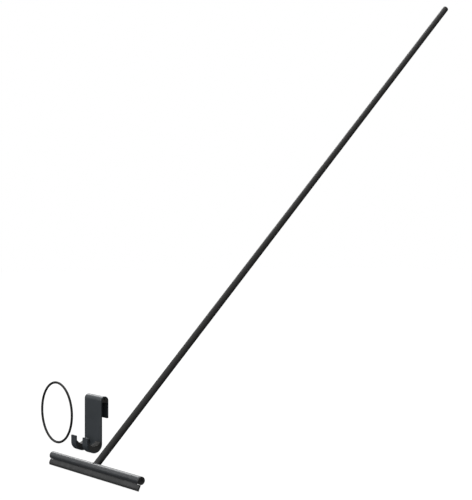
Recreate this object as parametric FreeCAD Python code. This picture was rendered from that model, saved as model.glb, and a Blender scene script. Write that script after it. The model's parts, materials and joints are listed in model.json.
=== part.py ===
"""Long-pole window squeegee with its glass-door hook and hanging ring.

The head bar lies along X and the pole rises up and back at an angle. The head's parts are
modelled about the middle of the bar, with the blade or the pole upright, and are then leaned
and moved, so that the centre of the pole's lower end is the origin. The hook and the ring stand
behind the head, at the height of the blade's edge. All sizes are in millimetres.
"""

import FreeCAD, Part
import math
import os

from FreeCAD import Vector

# Pole
POLE_TILT = 45.0            # degrees from upright, leaning back
POLE_REACH = 1230.0         # bar's centre line to the pole's far end
POLE_DIAMETER = 12.0
POLE_WALL = 1.0
CAP_TOP = 4.0               # the part of the pole's cap that shows
CAP_ROUNDING = 3.0
CAP_SPIGOT = 16.0
INSERT_LENGTH = 24.0
STUD_DIAMETER = 8.0
STUD_IN_INSERT = 18.0
STUD_END_GAP = 0.4          # left under the stud in the neck's threaded hole
STUD_CHAMFER = 0.8

# Neck between the pole and the bar
NECK_HEIGHT = 9.5           # the bar's crown to the neck's upper face
NECK_FLOOR = 0.5            # metal left between the threaded hole and the bar
WASHER_THICKNESS = 0.8
WASHER_EDGE = 0.2           # how far the washer's rim stays inside the pole

# Bar and what it holds
HEAD_LENGTH = 275.0         # over both end caps
BAR_DIAMETER = 13.0
BAR_WALL = 1.2
BAR_SLOT = 3.2
END_CAP_RIM = 2.5
END_CAP_SPIGOT = 6.0
END_CAP_CHAMFER = 0.5
SCREW_DIAMETER = 2.5
SCREW_OFFSET = 1.2          # above the bar's centre line
SCREW_LENGTH = 16.0
SCREW_HEAD_DIAMETER = 4.7
SCREW_HEAD_HEIGHT = 1.2
SCREW_RECESS = 0.3
HEX_SOCKET = 1.5
HEX_DEPTH = 1.0

# Rubber blade
BLADE_LEAN = 25.0           # degrees from upright, the edge leaning forward
BLADE_DROP = 10.2           # the bar's underside to the blade's edge
BEAD_DIAMETER = 4.0
BEAD_DEPTH = 2.9            # bead's centre below the bar's centre line
WEB_THICKNESS = 2.0
WEB_GAP = 0.15              # between the web and the lip's rounded top
LIP_THICKNESS = 2.6
LIP_OVERHANG = 0.8          # past the outer face of each end cap
EDGE_THICKNESS = 0.4
BEVEL_HEIGHT = 3.2

# Hook for a glass door or wall
HOOK_WIDTH = 57.5
HOOK_HEIGHT = 102.0
STRAP = 2.5
GLASS_GAP = 11.0
FLAP_LENGTH = 40.8
HOOK_DEPTH = 29.0           # band's front face to the prongs' front face
TIP_HEIGHT = 28.6
PRONG_WIDTH = 17.0
FORK_ROOT = 24.5            # depth of the fork's gap behind the prongs' front face
FORK_CORNER = 5.0
STRAP_CORNER = 1.5
CROWN_PAD_DEPTH = 11.8      # hook's top to the underside of the pad under its crown
CROWN_PAD_BORE = 4.0
CROWN_PAD_BORE_DROP = 5.0   # hook's top to the centre of the pad's hollow
TROUGH_FLOOR = 12.4         # height of the saddles' lowest point
HORN_HEIGHT = 19.0          # height at which the saddles' thin tips end
PAD_INSET = 0.3
HOOK_X = -207.0
HOOK_BACK = 110.8           # pole's foot back to the band's front face

# Loose hanging ring
RING_OUTER = 118.7
RING_SECTION = 4.7
RING_X = -315.6
RING_BACK = 96.6            # pole's foot back to the ring's middle plane

# Clearances
GLUE_GAP = 0.02             # between pieces that are pressed or bonded together
SCREW_CLEARANCE = 0.03      # screws and the stud in their threads
SPIGOT_CLEARANCE = 0.05     # end-cap spigots and the carrier in the bar
BEAD_CLEARANCE = 0.08       # bead in its channel
MOUTH_CLEARANCE = 0.3       # web in the channel's mouth
LIP_CLEARANCE = 0.3         # lip's rounded top below the bar
WASHER_CLEARANCE = 0.3      # washer's hole round the stud
BLADE_END_CLEARANCE = 0.2   # bead's ends off the end-cap spigots
O_RING_SECTION = 1.4
O_RING_SQUEEZE = 0.1        # how far the ring stands out of the spigot's groove

# Sizes that follow from the ones above
BAR_RADIUS = BAR_DIAMETER / 2
BAR_BORE = BAR_RADIUS - BAR_WALL
POLE_RADIUS = POLE_DIAMETER / 2
POLE_BORE = POLE_RADIUS - POLE_WALL
NECK_REACH = BAR_RADIUS + NECK_HEIGHT
STUD_IN_NECK = NECK_HEIGHT - NECK_FLOOR - STUD_END_GAP
POLE_FOOT = NECK_REACH + WASHER_THICKNESS
TUBE_END = POLE_REACH - CAP_TOP
STUD_RADIUS = STUD_DIAMETER / 2
BAR_LENGTH = HEAD_LENGTH - 2 * END_CAP_RIM
CARRIER_LENGTH = BAR_LENGTH - 2 * END_CAP_SPIGOT
CARRIER_RADIUS = BAR_BORE - SPIGOT_CLEARANCE
CHANNEL_RADIUS = BEAD_DIAMETER / 2 + BEAD_CLEARANCE
CHANNEL_MOUTH = WEB_THICKNESS + 2 * MOUTH_CLEARANCE
BLADE_REACH = BAR_RADIUS + BLADE_DROP
WEB_REACH = BAR_RADIUS + LIP_CLEARANCE - WEB_GAP
LIP_HINGE = BAR_RADIUS + LIP_CLEARANCE + LIP_THICKNESS / 2
SCREW_RADIUS = SCREW_DIAMETER / 2
CROWN_OUTER = GLASS_GAP / 2 + STRAP
CURL_OUTER = (HOOK_DEPTH + STRAP) / 2
CURL_INNER = CURL_OUTER - STRAP
CURL_Y = STRAP - CURL_OUTER
CROWN_Y = STRAP + GLASS_GAP / 2
CROWN_Z = HOOK_HEIGHT - CROWN_OUTER

OVERRUN = 1.0               # how far a cutting shape runs past the piece it cuts
NEAR = 0.01                 # how close an edge's middle must be to count as on a face
PARALLEL = 1e-6             # how far an edge may be off an axis and still count as along it

X_AXIS = Vector(1, 0, 0)
Y_AXIS = Vector(0, 1, 0)
Z_AXIS = Vector(0, 0, 1)
LEAN = math.radians(BLADE_LEAN)
TILT = math.radians(POLE_TILT)
EDGE_DROP = BLADE_REACH * math.cos(LEAN) + LIP_THICKNESS / 2 * math.sin(LEAN)
BAR_PLACE = Vector(0, -POLE_FOOT * math.sin(TILT), -POLE_FOOT * math.cos(TILT))
GROUND = BAR_PLACE.z - EDGE_DROP
HOOK_PLACE = Vector(HOOK_X, HOOK_BACK, GROUND)
RING_PLACE = Vector(RING_X, RING_BACK, GROUND + RING_OUTER / 2)


def rod(radius, length, start=Vector(0, 0, 0), axis=Z_AXIS):
    """A cylinder from start along axis."""
    return Part.makeCylinder(radius, length, start, axis)


def pipe(outer, inner, length, start=Vector(0, 0, 0), axis=Z_AXIS):
    """A cylinder with a hole along it."""
    bore = rod(inner, length + 2 * OVERRUN, start - axis * OVERRUN, axis)
    return rod(outer, length, start, axis).cut(bore)


def rod_x(radius, length, y=0.0, z=0.0, x=0.0):
    """A cylinder along X, with its middle at x."""
    return rod(radius, length, Vector(x - length / 2, y, z), X_AXIS)


def slab(x_size, y_size, z_size, y_low, z_low, x=0.0):
    """A box with its middle at x and its low side at y_low and z_low."""
    return Part.makeBox(x_size, y_size, z_size, Vector(x - x_size / 2, y_low, z_low))


def prism_x(points, length, x=0.0):
    """A polygon in the YZ plane, extruded along X with its middle at x."""
    corners = [Vector(x - length / 2, y, z) for y, z in points]
    face = Part.Face(Part.makePolygon(corners + corners[:1]))
    return face.extrude(X_AXIS * length)


def rounded_along(shape, axis, radius, keep):
    """The shape with its straight edges along axis rounded, where keep is true of their middle."""
    edges = []
    for edge in shape.Edges:
        if not isinstance(edge.Curve, Part.Line):
            continue
        along = abs(edge.Curve.Direction.dot(axis)) > 1 - PARALLEL
        if along and keep(edge.CenterOfMass):
            edges.append(edge)
    return shape.makeFillet(radius, edges)


def on_pole(shape):
    """Turn an upright piece of the pole to the pole's tilt and put it in place."""
    shape.rotate(Vector(0, 0, 0), X_AXIS, -POLE_TILT)
    shape.translate(BAR_PLACE)
    return shape


def on_bar(shape):
    """Lean an upright piece of the head by the blade's angle and put it in place."""
    shape.rotate(Vector(0, 0, 0), X_AXIS, -BLADE_LEAN)
    shape.translate(BAR_PLACE)
    return shape


def moved(shape, place):
    """The shape moved to a place."""
    shape.translate(place)
    return shape


# Pole: tube, threaded insert, stud and cap, all along Z from the bar's centre line

def pole_tube():
    return pipe(POLE_RADIUS, POLE_BORE, TUBE_END - POLE_FOOT, Z_AXIS * POLE_FOOT)


def pole_insert():
    """Turned plug bonded in the tube's lower end, with the hole that the stud is locked in."""
    plug = rod(POLE_BORE - GLUE_GAP, INSERT_LENGTH, Z_AXIS * POLE_FOOT)
    radius = STUD_RADIUS - SCREW_CLEARANCE + GLUE_GAP
    hole = rod(radius, STUD_IN_INSERT + OVERRUN, Z_AXIS * (POLE_FOOT - OVERRUN))
    return plug.cut(hole)


def pole_stud():
    """Threaded stud that stands out of the pole's lower end and screws into the neck."""
    low = NECK_REACH - STUD_IN_NECK
    length = POLE_FOOT - low + STUD_IN_INSERT - GLUE_GAP
    stud = rod(STUD_RADIUS - SCREW_CLEARANCE, length, Z_AXIS * low)
    ends = [edge for edge in stud.Edges if isinstance(edge.Curve, Part.Circle)]
    return stud.makeChamfer(STUD_CHAMFER, ends)


def o_ring_place():
    """Height of the grip ring in the middle of the cap's spigot."""
    return TUBE_END - CAP_SPIGOT / 2


def pole_cap():
    """Rounded cap with a spigot in the tube and a groove round it for the grip ring."""
    top = rod(POLE_RADIUS, CAP_TOP, Z_AXIS * TUBE_END)
    rim = [edge for edge in top.Edges if edge.CenterOfMass.z > POLE_REACH - NEAR]
    top = top.makeFillet(CAP_ROUNDING, rim)
    radius = POLE_BORE - O_RING_SQUEEZE - GLUE_GAP
    spigot = rod(radius, CAP_SPIGOT, Z_AXIS * (TUBE_END - CAP_SPIGOT))
    groove_radius = POLE_BORE - GLUE_GAP - O_RING_SECTION - GLUE_GAP
    groove_low = o_ring_place() - O_RING_SECTION / 2 - GLUE_GAP
    groove_height = O_RING_SECTION + 2 * GLUE_GAP
    groove = pipe(POLE_RADIUS, groove_radius, groove_height, Z_AXIS * groove_low)
    return top.fuse(spigot.cut(groove)).removeSplitter()


def cap_grip_ring():
    """Rubber ring in the groove, which grips the inside of the tube."""
    middle = POLE_BORE - GLUE_GAP - O_RING_SECTION / 2
    return Part.makeTorus(middle, O_RING_SECTION / 2, Z_AXIS * o_ring_place(), Z_AXIS)


# Neck: washer and the socket that is welded to the bar

def neck_washer():
    hole = STUD_RADIUS + WASHER_CLEARANCE
    return pipe(POLE_RADIUS - WASHER_EDGE, hole, WASHER_THICKNESS, Z_AXIS * NECK_REACH)


def neck_socket():
    """Short round neck, saddled onto the bar, with a blind threaded hole from its upper face."""
    neck = rod(POLE_RADIUS, NECK_REACH)
    hole_floor = BAR_RADIUS + NECK_FLOOR
    hole = rod(STUD_RADIUS, NECK_REACH - hole_floor + OVERRUN, Z_AXIS * hole_floor)
    saddle_cut = rod_x(BAR_RADIUS + GLUE_GAP, POLE_DIAMETER + 2 * OVERRUN)
    return neck.cut(saddle_cut).cut(hole)


# Head: slotted bar, blade carrier, end caps and screws, along X, with the blade hanging down

def head_bar():
    tube = pipe(BAR_RADIUS, BAR_BORE, BAR_LENGTH, Vector(-BAR_LENGTH / 2, 0, 0), X_AXIS)
    slot_length = BAR_LENGTH + 2 * OVERRUN
    return tube.cut(slab(slot_length, BAR_SLOT, BAR_DIAMETER, -BAR_SLOT / 2, -BAR_DIAMETER))


def blade_carrier():
    """Extruded insert with the channel that holds the bead and the hole for the cap screws."""
    through = CARRIER_LENGTH + 2 * OVERRUN
    mouth_height = BAR_DIAMETER - BEAD_DEPTH
    channel = rod_x(CHANNEL_RADIUS, through, 0, -BEAD_DEPTH)
    mouth = slab(through, CHANNEL_MOUTH, mouth_height, -CHANNEL_MOUTH / 2, -BAR_DIAMETER)
    port = rod_x(SCREW_RADIUS + SCREW_CLEARANCE, through, 0, SCREW_OFFSET)
    return rod_x(CARRIER_RADIUS, CARRIER_LENGTH).cut(channel).cut(mouth).cut(port)


def blade_root():
    """Bead and web of the rubber blade, the part that slides in the channel."""
    length = CARRIER_LENGTH - 2 * BLADE_END_CLEARANCE
    bead = rod_x(BEAD_DIAMETER / 2, length, 0, -BEAD_DEPTH)
    web = slab(length, WEB_THICKNESS, WEB_REACH - BEAD_DEPTH, -WEB_THICKNESS / 2, -WEB_REACH)
    return bead.fuse(web).removeSplitter()


def blade_lip():
    """The blade below the bar, with a round top that it flexes about and a bevelled edge."""
    length = HEAD_LENGTH + 2 * LIP_OVERHANG
    front = -LIP_THICKNESS / 2
    back = LIP_THICKNESS / 2
    outline = [(front, -LIP_HINGE), (front, -BLADE_REACH + BEVEL_HEIGHT),
               (back - EDGE_THICKNESS, -BLADE_REACH), (back, -BLADE_REACH), (back, -LIP_HINGE)]
    top = rod_x(LIP_THICKNESS / 2, length, 0, -LIP_HINGE)
    return prism_x(outline, length).fuse(top).removeSplitter()


def end_cap(side):
    """Cap on the bar's end, with a spigot in the bar and a countersunk hole for its screw."""
    out = X_AXIS * side
    rim = rod(BAR_RADIUS, END_CAP_RIM, out * (BAR_LENGTH / 2), out)
    outer_edge = [edge for edge in rim.Edges if abs(edge.CenterOfMass.x) > HEAD_LENGTH / 2 - NEAR]
    rim = rim.makeChamfer(END_CAP_CHAMFER, outer_edge)
    spigot = rod(CARRIER_RADIUS, END_CAP_SPIGOT, out * (BAR_LENGTH / 2 - END_CAP_SPIGOT), out)
    hole = rod_x(SCREW_RADIUS + SCREW_CLEARANCE, HEAD_LENGTH + 2 * OVERRUN, 0, SCREW_OFFSET)
    head_radius = SCREW_HEAD_DIAMETER / 2 + GLUE_GAP
    face = HEAD_LENGTH / 2 - SCREW_RECESS
    sink = countersink(side, face, SCREW_RADIUS + GLUE_GAP, head_radius, GLUE_GAP)
    well = rod(head_radius, SCREW_RECESS + OVERRUN, screw_point(side, face), out)
    return rim.fuse(spigot).cut(hole).cut(sink).cut(well)


def screw_point(side, distance):
    """A point on a cap screw's line, at a distance from the middle of the bar."""
    return Vector(side * distance, 0, SCREW_OFFSET)


def countersink(side, face, small, large, extra):
    """Cone from the screw head's face inwards, longer at its small end by extra."""
    height = SCREW_HEAD_HEIGHT + extra
    return Part.makeCone(large, small, height, screw_point(side, face), X_AXIS * -side)


def hexagon(across, height, start, axis):
    """Upright hexagonal prism along axis, by its size across flats."""
    corner = across / math.sqrt(3)
    points = []
    for turn in range(0, 361, 60):
        angle = math.radians(turn)
        points.append(start + Vector(0, corner * math.cos(angle), corner * math.sin(angle)))
    return Part.Face(Part.makePolygon(points)).extrude(axis * height)


def cap_screw(side):
    """Countersunk hex-socket screw that holds an end cap to the carrier."""
    face = HEAD_LENGTH / 2 - SCREW_RECESS
    head = countersink(side, face, SCREW_RADIUS, SCREW_HEAD_DIAMETER / 2, 0)
    shank = rod(SCREW_RADIUS, SCREW_LENGTH, screw_point(side, face - SCREW_LENGTH), X_AXIS * side)
    floor = screw_point(side, face - HEX_DEPTH)
    socket = hexagon(HEX_SOCKET, HEX_DEPTH + OVERRUN, floor, X_AXIS * side)
    return head.fuse(shank).cut(socket)


# Hook: bent strap, pad under the crown and a saddle in each prong, in the hook's own frame
# with Y = 0 on the band's front face and Z = 0 at its lowest point

def strap_outline():
    """Closed outline of the strap in the YZ plane: flap, crown, band, curl and prong."""
    def point(y, z):
        return Vector(0, y, z)

    def line(start, end):
        return Part.makeLine(point(*start), point(*end))

    def arc(start, middle, end):
        return Part.Arc(point(*start), point(*middle), point(*end)).toShape()

    flap_low = HOOK_HEIGHT - FLAP_LENGTH
    flap_back = GLASS_GAP + 2 * STRAP
    flap_front = GLASS_GAP + STRAP
    prong_back = STRAP - HOOK_DEPTH
    crown_inner = CROWN_OUTER - STRAP
    edges = [
        line((flap_back, flap_low), (flap_back, CROWN_Z)),
        arc((flap_back, CROWN_Z), (CROWN_Y, HOOK_HEIGHT), (0, CROWN_Z)),
        line((0, CROWN_Z), (0, CURL_OUTER)),
        arc((0, CURL_OUTER), (CURL_Y, STRAP), (prong_back, CURL_OUTER)),
        line((prong_back, CURL_OUTER), (prong_back, TIP_HEIGHT)),
        line((prong_back, TIP_HEIGHT), (-HOOK_DEPTH, TIP_HEIGHT)),
        line((-HOOK_DEPTH, TIP_HEIGHT), (-HOOK_DEPTH, CURL_OUTER)),
        arc((-HOOK_DEPTH, CURL_OUTER), (CURL_Y, 0), (STRAP, CURL_OUTER)),
        line((STRAP, CURL_OUTER), (STRAP, CROWN_Z)),
        arc((STRAP, CROWN_Z), (CROWN_Y, CROWN_Z + crown_inner), (flap_front, CROWN_Z)),
        line((flap_front, CROWN_Z), (flap_front, flap_low)),
        line((flap_front, flap_low), (flap_back, flap_low)),
    ]
    return Part.Face(Part.Wire(edges))


def fork_gap():
    """The space between the prongs, open at the front, with rounded corners at its root."""
    width = HOOK_WIDTH - 2 * PRONG_WIDTH
    front = -HOOK_DEPTH - OVERRUN
    gap = slab(width, FORK_ROOT + OVERRUN, TIP_HEIGHT + 2 * OVERRUN, front, -OVERRUN)
    root = FORK_ROOT - HOOK_DEPTH
    return rounded_along(gap, Z_AXIS, FORK_CORNER, lambda centre: abs(centre.y - root) < NEAR)


def hook_strap():
    strap = strap_outline().extrude(X_AXIS * HOOK_WIDTH)
    strap.translate(Vector(-HOOK_WIDTH / 2, 0, 0))
    strap = strap.cut(fork_gap())
    flap_low = HOOK_HEIGHT - FLAP_LENGTH

    def at_an_end(centre):
        on_tip = centre.y < STRAP - HOOK_DEPTH and abs(centre.z - TIP_HEIGHT) < NEAR
        on_flap = centre.y > GLASS_GAP and abs(centre.z - flap_low) < NEAR
        return on_tip or on_flap

    return rounded_along(strap, Y_AXIS, STRAP_CORNER, at_an_end)


def crown_pad():
    """Soft pad that fills the crown, so the hook sits on the glass's edge."""
    length = HOOK_WIDTH - 2 * PAD_INSET
    radius = GLASS_GAP / 2 - GLUE_GAP
    low = HOOK_HEIGHT - CROWN_PAD_DEPTH
    through = length + 2 * OVERRUN
    pad = rod_x(radius, length, CROWN_Y, CROWN_Z)
    pad = pad.fuse(slab(length, 2 * radius, CROWN_Z - low, CROWN_Y - radius, low))
    pad = pad.cut(slab(through, 2 * GLASS_GAP, GLASS_GAP, CROWN_Y - GLASS_GAP, low - GLASS_GAP))
    bore = rod_x(CROWN_PAD_BORE / 2, through, CROWN_Y, HOOK_HEIGHT - CROWN_PAD_BORE_DROP)
    return pad.removeSplitter().cut(bore)


def saddle(side):
    """Soft crescent in one prong's curl, which the squeegee's bar rests on."""
    length = PRONG_WIDTH - 2 * PAD_INSET
    x = side * (HOOK_WIDTH - PRONG_WIDTH) / 2
    through = length + 2 * OVERRUN
    filling = rod_x(CURL_INNER - GLUE_GAP, length, CURL_Y, CURL_OUTER, x)
    trough = rod_x(CURL_INNER, through, CURL_Y, TROUGH_FLOOR + CURL_INNER, x)
    above = slab(through, 2 * CURL_OUTER, 2 * CURL_OUTER, CURL_Y - CURL_OUTER, HORN_HEIGHT, x)
    return filling.cut(trough).cut(above)


def hanging_ring():
    section = RING_SECTION / 2
    return Part.makeTorus(RING_OUTER / 2 - section, section, Vector(0, 0, 0), Y_AXIS)


def all_nodes():
    """Every piece in its place, by name."""
    nodes = {
        "pole_tube": on_pole(pole_tube()),
        "pole_insert": on_pole(pole_insert()),
        "pole_stud": on_pole(pole_stud()),
        "pole_cap": on_pole(pole_cap()),
        "cap_grip_ring": on_pole(cap_grip_ring()),
        "neck_washer": on_pole(neck_washer()),
        "neck_socket": on_pole(neck_socket()),
        "head_bar": on_bar(head_bar()),
        "blade_carrier": on_bar(blade_carrier()),
        "blade_root": on_bar(blade_root()),
        "blade_lip": on_bar(blade_lip()),
        "hook_strap": moved(hook_strap(), HOOK_PLACE),
        "crown_pad": moved(crown_pad(), HOOK_PLACE),
        "hanging_ring": moved(hanging_ring(), RING_PLACE),
    }
    for name, side in (("left", -1), ("right", 1)):
        nodes["end_cap_" + name] = on_bar(end_cap(side))
        nodes["cap_screw_" + name] = on_bar(cap_screw(side))
        nodes["saddle_" + name] = moved(saddle(side), HOOK_PLACE)
    return nodes


def main():
    os.makedirs("parts", exist_ok=True)
    for name, shape in all_nodes().items():
        solid = shape.Solids[0] if len(shape.Solids) == 1 else shape
        solid.exportStep("parts/" + name + ".step")
        box = solid.BoundBox
        print("%-16s solids %d valid %s volume %9.1f  x %8.1f %8.1f  y %8.1f %8.1f  z %8.1f %8.1f" % (
            name, len(shape.Solids), solid.isValid(), solid.Volume,
            box.XMin, box.XMax, box.YMin, box.YMax, box.ZMin, box.ZMax))


main()
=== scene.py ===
"""Studio scene of a long-pole window squeegee with its glass-door hook and hanging ring.

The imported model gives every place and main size. Each sub-assembly is modelled in millimetres in
a frame of its own, with x along the bar, and its pieces are then moved to the model's frame.
"""

import json
import logging
import math
from collections.abc import Callable, Iterable, Sequence
from dataclasses import dataclass
from enum import Enum
from functools import partial
from typing import NamedTuple, Optional, Union

import bmesh
import bpy
from mathutils import Euler, Matrix, Vector


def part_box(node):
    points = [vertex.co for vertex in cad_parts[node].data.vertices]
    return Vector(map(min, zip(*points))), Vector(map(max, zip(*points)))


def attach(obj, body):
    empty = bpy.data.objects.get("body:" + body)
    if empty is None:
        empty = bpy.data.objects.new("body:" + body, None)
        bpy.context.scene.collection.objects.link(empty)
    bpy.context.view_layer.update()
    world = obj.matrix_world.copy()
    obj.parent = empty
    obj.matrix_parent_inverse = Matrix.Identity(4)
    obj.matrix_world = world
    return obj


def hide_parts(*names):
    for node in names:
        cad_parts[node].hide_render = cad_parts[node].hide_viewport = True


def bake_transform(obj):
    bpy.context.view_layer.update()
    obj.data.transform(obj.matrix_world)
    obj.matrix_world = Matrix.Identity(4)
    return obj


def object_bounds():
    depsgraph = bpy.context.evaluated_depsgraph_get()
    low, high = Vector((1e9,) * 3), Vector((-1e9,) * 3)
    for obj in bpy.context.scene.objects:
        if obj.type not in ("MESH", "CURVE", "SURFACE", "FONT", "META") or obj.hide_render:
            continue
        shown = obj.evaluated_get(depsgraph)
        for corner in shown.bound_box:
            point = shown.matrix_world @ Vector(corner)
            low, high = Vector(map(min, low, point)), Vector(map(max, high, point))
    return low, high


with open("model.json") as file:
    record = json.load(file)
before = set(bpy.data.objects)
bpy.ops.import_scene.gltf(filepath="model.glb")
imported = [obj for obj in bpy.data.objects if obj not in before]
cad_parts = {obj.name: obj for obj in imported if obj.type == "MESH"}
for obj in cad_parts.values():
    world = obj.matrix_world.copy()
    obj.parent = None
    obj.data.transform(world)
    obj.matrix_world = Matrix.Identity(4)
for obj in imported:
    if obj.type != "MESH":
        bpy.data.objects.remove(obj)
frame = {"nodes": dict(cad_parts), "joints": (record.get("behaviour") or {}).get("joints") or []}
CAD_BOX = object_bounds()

LOG = logging.getLogger("squeegee")
MM = 0.001
MERGE = 1e-4                # points closer than this are one point
SMOOTH_ANGLE = math.radians(38)
SHARP_EDGE = math.radians(40)
BLADE_LEAN = math.radians(25.0)     # how far the blade's edge leans forward
SMALL_ROUNDING_STEPS = 3
LARGE_ROUNDING_STEPS = 8
THREAD_STEPS = 40
ARC_STEPS = 28
CURL_STEPS = 36
HOLE_STEPS = 32
TUBE_STEPS = 64
OVERRUN = 1                 # how far a cutting shape reaches past a face
FULL_TURN = 2 * math.pi
AXIS_X = Vector((1, 0, 0))
AXIS_Y = Vector((0, 1, 0))
AXIS_Z = Vector((0, 0, 1))

WHITE = (1.0, 1.0, 1.0, 1.0)

Colour = tuple[float, float, float]
Number = Union[int, float]
Band = tuple[float, float]          # where a mask is 0 and where it is 1
Tones = tuple[float, float]         # the darkest and lightest shade of a colour


class Side(Enum):
    """The two ends of the bar and the two prongs of the hook."""

    LEFT = -1
    RIGHT = 1

    @property
    def word(self) -> str:
        """The side's name as it is used in the names of pieces."""
        return self.name.lower()


# Shader maths


class Value:
    """A socket of a material, on which Python's arithmetic adds Math nodes."""

    def __init__(self, graph: "Graph", socket: bpy.types.NodeSocket) -> None:
        """Keep the socket, and the graph that new nodes are added to."""
        self.graph = graph
        self.socket = socket

    def math(self, operation: str, *terms: Union["Value", Number]) -> "Value":
        """Add one Math node, with the terms in its sockets."""
        sockets = dict(enumerate(terms))
        return self.graph.node("ShaderNodeMath", {"operation": operation}, sockets)

    def __add__(self, other: Union["Value", Number]) -> "Value":
        """Self plus other."""
        return self.math("ADD", self, other)

    def __sub__(self, other: Union["Value", Number]) -> "Value":
        """Self minus other."""
        return self.math("SUBTRACT", self, other)

    def __mul__(self, other: Union["Value", Number]) -> "Value":
        """Self times other."""
        return self.math("MULTIPLY", self, other)

    def sine(self) -> "Value":
        """The sine of the value, in radians."""
        return self.math("SINE", self)

    def step(self, low: float, high: float) -> "Value":
        """Rise smoothly from 0 at low to 1 at high.

        Args:
            low: The value where the rise starts.
            high: The value where the rise ends.

        Returns:
            The eased mask.
        """
        settings = {"interpolation_type": "SMOOTHSTEP"}
        sockets = {"Value": self, "From Min": low, "From Max": high}
        return self.graph.node("ShaderNodeMapRange", settings, sockets)


class Graph:
    """The node tree of one material."""

    def __init__(self, tree: bpy.types.NodeTree) -> None:
        """Empty a material's or the world's tree, ready for new nodes."""
        self.tree = tree
        tree.nodes.clear()

    def node(
        self,
        kind: str,
        settings: Optional[dict] = None,
        sockets: Optional[dict] = None,
        output: Union[int, str, None] = 0,
    ) -> Optional[Value]:
        """Add a node of any type.

        Args:
            kind: The node's type.
            settings: The node's own properties, set before its sockets.
            sockets: Values or links for its inputs, by name or number.
            output: Which output is wanted, if any.

        Returns:
            The chosen output.
        """
        node = self.tree.nodes.new(kind)
        for name, value in (settings or {}).items():
            setattr(node, name, value)
        for key, value in (sockets or {}).items():
            if isinstance(value, Value):
                self.tree.links.new(value.socket, node.inputs[key])
            else:
                node.inputs[key].default_value = value
        return None if output is None else Value(self, node.outputs[output])

    def spot(self, place: "Place") -> Value:
        """Surface position in a sub-assembly's own frame.

        Args:
            place: Where the sub-assembly stands.

        Returns:
            The position in millimetres, as a vector.
        """
        where = self.node("ShaderNodeTexCoord", output="Object")
        sockets = {
            "Vector": where,
            "Location": place.origin,
            "Rotation": Euler((place.lean, 0, 0)),
            "Scale": (MM, MM, MM),
        }
        return self.node("ShaderNodeMapping", {"vector_type": "TEXTURE"}, sockets)

    def stretched(self, spot: Value, scale: Sequence[float]) -> Value:
        """A position with each axis scaled by itself."""
        sockets = {0: spot, 1: tuple(scale)}
        return self.node("ShaderNodeVectorMath", {"operation": "MULTIPLY"}, sockets)

    def noise(self, spot: Value, per_mm: float, detail: float = 2.0, rough: float = 0.5) -> Value:
        """Cloudy noise, about 0.5 on average, with finer octaves of some strength."""
        sockets = {"Vector": spot, "Scale": per_mm, "Detail": detail, "Roughness": rough}
        return self.node("ShaderNodeTexNoise", None, sockets)

    def grains(self, spot: Value, per_mm: float) -> Value:
        """Distance to the nearest of many scattered points."""
        sockets = {"Vector": spot, "Scale": per_mm}
        return self.node("ShaderNodeTexVoronoi", {"feature": "F1"}, sockets)

    def axis(self, spot: Value, which: str) -> Value:
        """One coordinate of a position, X, Y or Z."""
        return self.node("ShaderNodeSeparateXYZ", None, {0: spot}, which)

    def blend(
        self, share: Value, low: Union[Colour, Value], high: Union[Colour, Value]
    ) -> Value:
        """Mix two colours.

        Args:
            share: How much of the second colour there is.
            low: The colour at a share of 0.
            high: The colour at a share of 1.

        Returns:
            The mixed colour.
        """
        ends = [end if isinstance(end, Value) else (*end, 1.0) for end in (low, high)]
        sockets = {0: share, 6: ends[0], 7: ends[1]}
        return self.node("ShaderNodeMix", {"data_type": "RGBA"}, sockets, 2)

    def finish(self, shader: Value, kind: str = "ShaderNodeOutputMaterial") -> None:
        """Send a shader to an output node."""
        self.node(kind, None, {"Surface": shader}, None)

    def bump(self, height: Value, depth_mm: float) -> Value:
        """The normal of a surface whose height is a share of a depth."""
        sockets = {"Height": height, "Strength": 1.0, "Distance": depth_mm * MM}
        return self.node("ShaderNodeBump", None, sockets)


def new_material(name: str) -> tuple[bpy.types.Material, Graph]:
    """An empty material and the graph of its nodes."""
    made = bpy.data.materials.new(name)
    made.use_nodes = True
    return made, Graph(made.node_tree)


@dataclass(frozen=True)
class Place:
    """Where a sub-assembly's own frame stands in the model, x staying along the bar."""

    origin: Vector
    lean: float = 0.0

    @property
    def matrix(self) -> Matrix:
        """Millimetres in the sub-assembly's frame to metres in the model's."""
        turn = Matrix.Rotation(self.lean, 4, "X")
        return Matrix.Translation(self.origin) @ turn @ Matrix.Scale(MM, 4)

    def point(self, x: float, y: float, z: float) -> Vector:
        """A point of the sub-assembly's frame, in the model's."""
        return self.matrix @ Vector((x, y, z))


# Finishes


@dataclass(frozen=True)
class Finish:
    """What every finish has, and how its material is put together."""

    name: str
    colour: Colour
    roughness: float
    specular: float = 0.5
    metallic: float = 0.0
    tones: Tones = (0.8, 1.2)

    def material(self, place: Place) -> bpy.types.Material:
        """Build the finish for the pieces of one sub-assembly.

        Args:
            place: Where the sub-assembly stands, which its patterns follow.

        Returns:
            The finished material.
        """
        made, graph = new_material(self.name)
        sockets = {
            "Roughness": self.roughness,
            "Metallic": self.metallic,
            "Specular IOR Level": self.specular,
        }
        sockets.update(self.paint(graph, graph.spot(place)))
        shader = graph.node("ShaderNodeBsdfPrincipled", None, sockets)
        graph.finish(shader)
        made.diffuse_color = (*self.colour, 1.0)
        return made

    def paint(self, graph: Graph, spot: Value) -> dict:
        """Work out the sockets that vary over the surface.

        Args:
            graph: The material's nodes.
            spot: The position in millimetres.

        Returns:
            Values for the shader's sockets.
        """
        raise NotImplementedError

    def shade(self, factor: float) -> Colour:
        """The finish's colour, lighter or darker."""
        return tuple(min(1.0, part * factor) for part in self.colour)

    def toned(self, graph: Graph, share: Value) -> Value:
        """The finish's colour, from its darkest tone to its lightest."""
        return graph.blend(share, *(self.shade(tone) for tone in self.tones))


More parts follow.
